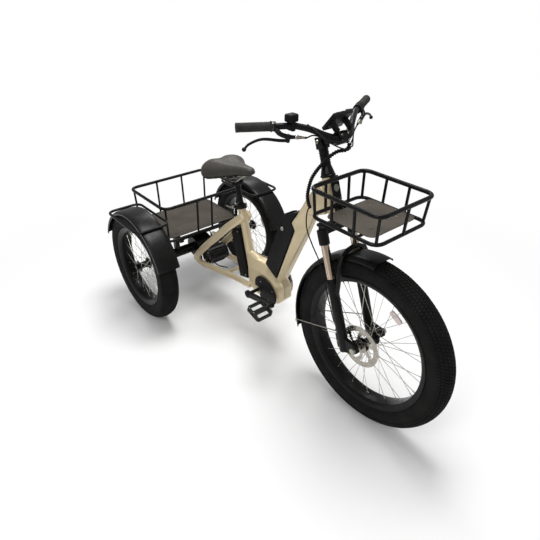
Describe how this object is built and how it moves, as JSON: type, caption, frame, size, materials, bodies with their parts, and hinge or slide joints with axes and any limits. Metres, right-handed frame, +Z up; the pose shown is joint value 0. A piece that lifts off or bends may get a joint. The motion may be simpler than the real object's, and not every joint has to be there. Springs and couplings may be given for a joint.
{
  "type": "adult tricycle",
  "caption": "Electric adult tricycle with a step-through frame, fat tyres, sprung fork, front and rear wire baskets and a wide saddle.",
  "frame": {"origin": "on the ground, at the centre of the tricycle's length and width", "axes": "+Z up; the front of the tricycle faces -Y; the rider's right side is -X"},
  "size_m": [0.885, 1.875, 1.2232],
  "materials": {
    "frame_paint": "satin champagne-beige paint",
    "black_paint": "satin black paint",
    "black_plastic": "matt black plastic",
    "fender_plastic": "satin black plastic",
    "floor_panel": "dark grey-brown sheet",
    "tyre_rubber": "matt black rubber",
    "grip_rubber": "dark grey ribbed rubber",
    "saddle_vinyl": "dark grey-brown vinyl",
    "stanchion_chrome": "bright chrome",
    "bare_steel": "bare steel",
    "spoke_steel": "bright spokes and hub"
  },
  "bodies": {
    "frame": {"main_frame": "frame_paint", "rear_triangle": "frame_paint", "head_badge": "black_plastic", "seat_clamp": "black_paint", "controller_box": "black_plastic", "motor": "black_paint", "rear_axle_housing": "black_paint", "rack_frame": "black_paint", "rear_basket": "black_paint", "rear_basket_floor": "floor_panel", "rear_fender_right": "fender_plastic", "rear_fender_left": "fender_plastic", "fender_hoop_right": "black_paint", "fender_hoop_left": "black_paint", "front_basket": "black_paint", "front_basket_floor": "floor_panel", "crank_cover": "black_plastic", "chain": "bare_steel"},
    "fork": {"fork_crown": "black_paint", "stanchion_right": "stanchion_chrome", "stanchion_left": "stanchion_chrome", "stem_riser": "black_paint", "stem_arm": "black_paint", "handlebar": "black_paint", "grip_right": "grip_rubber", "grip_left": "grip_rubber", "lever_mount_right": "black_paint", "lever_mount_left": "black_paint", "control_box": "black_plastic", "display": "black_plastic", "throttle_housing": "black_plastic", "cable_harness": "black_plastic", "brake_cable": "black_plastic"},
    "fork_lowers": {"fork_lowers": "black_paint", "front_axle": "bare_steel", "front_caliper": "black_paint", "front_fender": "fender_plastic"},
    "front_wheel": {"front_tyre": "tyre_rubber", "front_rim": "black_paint", "front_hub_and_spokes": "spoke_steel", "front_brake_disc": "bare_steel"},
    "rear_wheel_right": {"rear_tyre_right": "tyre_rubber", "rear_rim_right": "black_paint", "rear_hub_and_spokes_right": "spoke_steel"},
    "rear_wheel_left": {"rear_tyre_left": "tyre_rubber", "rear_rim_left": "black_paint", "rear_hub_and_spokes_left": "spoke_steel"},
    "crankset": {"crank_arm_right": "black_paint", "crank_arm_left": "black_paint"},
    "sprocket": {"rear_sprocket": "bare_steel"},
    "pedal_right": {"pedal_right": "black_plastic"},
    "pedal_left": {"pedal_left": "black_plastic"},
    "seat": {"seatpost": "black_paint", "saddle": "saddle_vinyl"},
    "clamp_lever": {"seat_clamp_lever": "bare_steel"},
    "battery": {"battery": "black_plastic"},
    "brake_lever_right": {"brake_lever_right": "black_paint"},
    "brake_lever_left": {"brake_lever_left": "black_paint"},
    "thumb_throttle": {"thumb_throttle": "black_plastic"},
    "assist_button": {"assist_button": "grip_rubber"}
  },
  "joints": [
    {"name": "steering", "type": "hinge", "parent": "frame", "child": "fork", "pos_m": [0, -0.2825, 0.983], "axis": [0, 0.342, 0.9397], "range_deg": [-40, 40], "deforming": ["cable_harness"]},
    {"name": "fork_suspension", "type": "slide", "parent": "fork", "child": "fork_lowers", "axis": [0, 0.342, 0.9397], "range_m": [0, 0.06], "stiffness_N_per_m": 10000, "springref_m": -0.04, "deforming": ["brake_cable"]},
    {"name": "front_wheel_spin", "type": "hinge", "parent": "fork_lowers", "child": "front_wheel", "pos_m": [0, -0.5665, 0.371], "axis": [1, 0, 0], "continuous": true},
    {"name": "rear_wheel_right_spin", "type": "hinge", "parent": "frame", "child": "rear_wheel_right", "pos_m": [-0.353, 0.6435, 0.294], "axis": [1, 0, 0], "continuous": true},
    {"name": "rear_wheel_left_spin", "type": "hinge", "parent": "frame", "child": "rear_wheel_left", "pos_m": [0.353, 0.6435, 0.294], "axis": [1, 0, 0], "continuous": true},
    {"name": "crank_spin", "type": "hinge", "parent": "frame", "child": "crankset", "pos_m": [0, 0.0665, 0.308], "axis": [1, 0, 0], "continuous": true},
    {"name": "sprocket_spin", "type": "hinge", "parent": "frame", "child": "sprocket", "pos_m": [0.098, 0.6435, 0.294], "axis": [1, 0, 0], "continuous": true},
    {"name": "pedal_right_spin", "type": "hinge", "parent": "crankset", "child": "pedal_right", "pos_m": [-0.178, -0.10289, 0.33787], "axis": [1, 0, 0], "continuous": true},
    {"name": "pedal_left_spin", "type": "hinge", "parent": "crankset", "child": "pedal_left", "pos_m": [0.178, 0.23589, 0.27813], "axis": [1, 0, 0], "continuous": true},
    {"name": "seatpost_height", "type": "slide", "parent": "frame", "child": "seat", "axis": [0, 0.2672, 0.9636], "range_m": [-0.06, 0.08]},
    {"name": "clamp_lever_swing", "type": "hinge", "parent": "frame", "child": "clamp_lever", "pos_m": [-0.0265, 0.28004, 0.6589], "axis": [0, 0.2672, 0.9636], "range_deg": [0, 150]},
    {"name": "battery_tilt", "type": "hinge", "parent": "frame", "child": "battery", "pos_m": [0, 0.0305, 0.463], "axis": [-1, 0, 0], "range_deg": [0, 25]},
    {"name": "brake_lever_right_pull", "type": "hinge", "parent": "fork", "child": "brake_lever_right", "pos_m": [-0.184, -0.2605, 1.153], "axis": [0.4428, 0.7716, -0.4568], "range_deg": [0, 11], "stiffness_Nm_per_rad": 3, "springref_deg": -6.88},
    {"name": "brake_lever_left_pull", "type": "hinge", "parent": "fork", "child": "brake_lever_left", "pos_m": [0.184, -0.2605, 1.153], "axis": [0.4428, -0.7716, 0.4568], "range_deg": [0, 11], "stiffness_Nm_per_rad": 3, "springref_deg": -6.88},
    {"name": "thumb_throttle_push", "type": "hinge", "parent": "fork", "child": "thumb_throttle", "pos_m": [0.18554, -0.23658, 1.18362], "axis": [-0.8806, -0.4736, -0.0148], "range_deg": [0, 35], "stiffness_Nm_per_rad": 0.3, "springref_deg": -14.32},
    {"name": "assist_button_press", "type": "slide", "parent": "fork", "child": "assist_button", "axis": [0, -1, 0], "range_m": [0, 0.0025], "stiffness_N_per_m": 400, "springref_m": -0.002}
  ],
  "couplings": [
    {"joint": "sprocket_spin", "follows": "crank_spin", "ratio": 2}
  ]
}
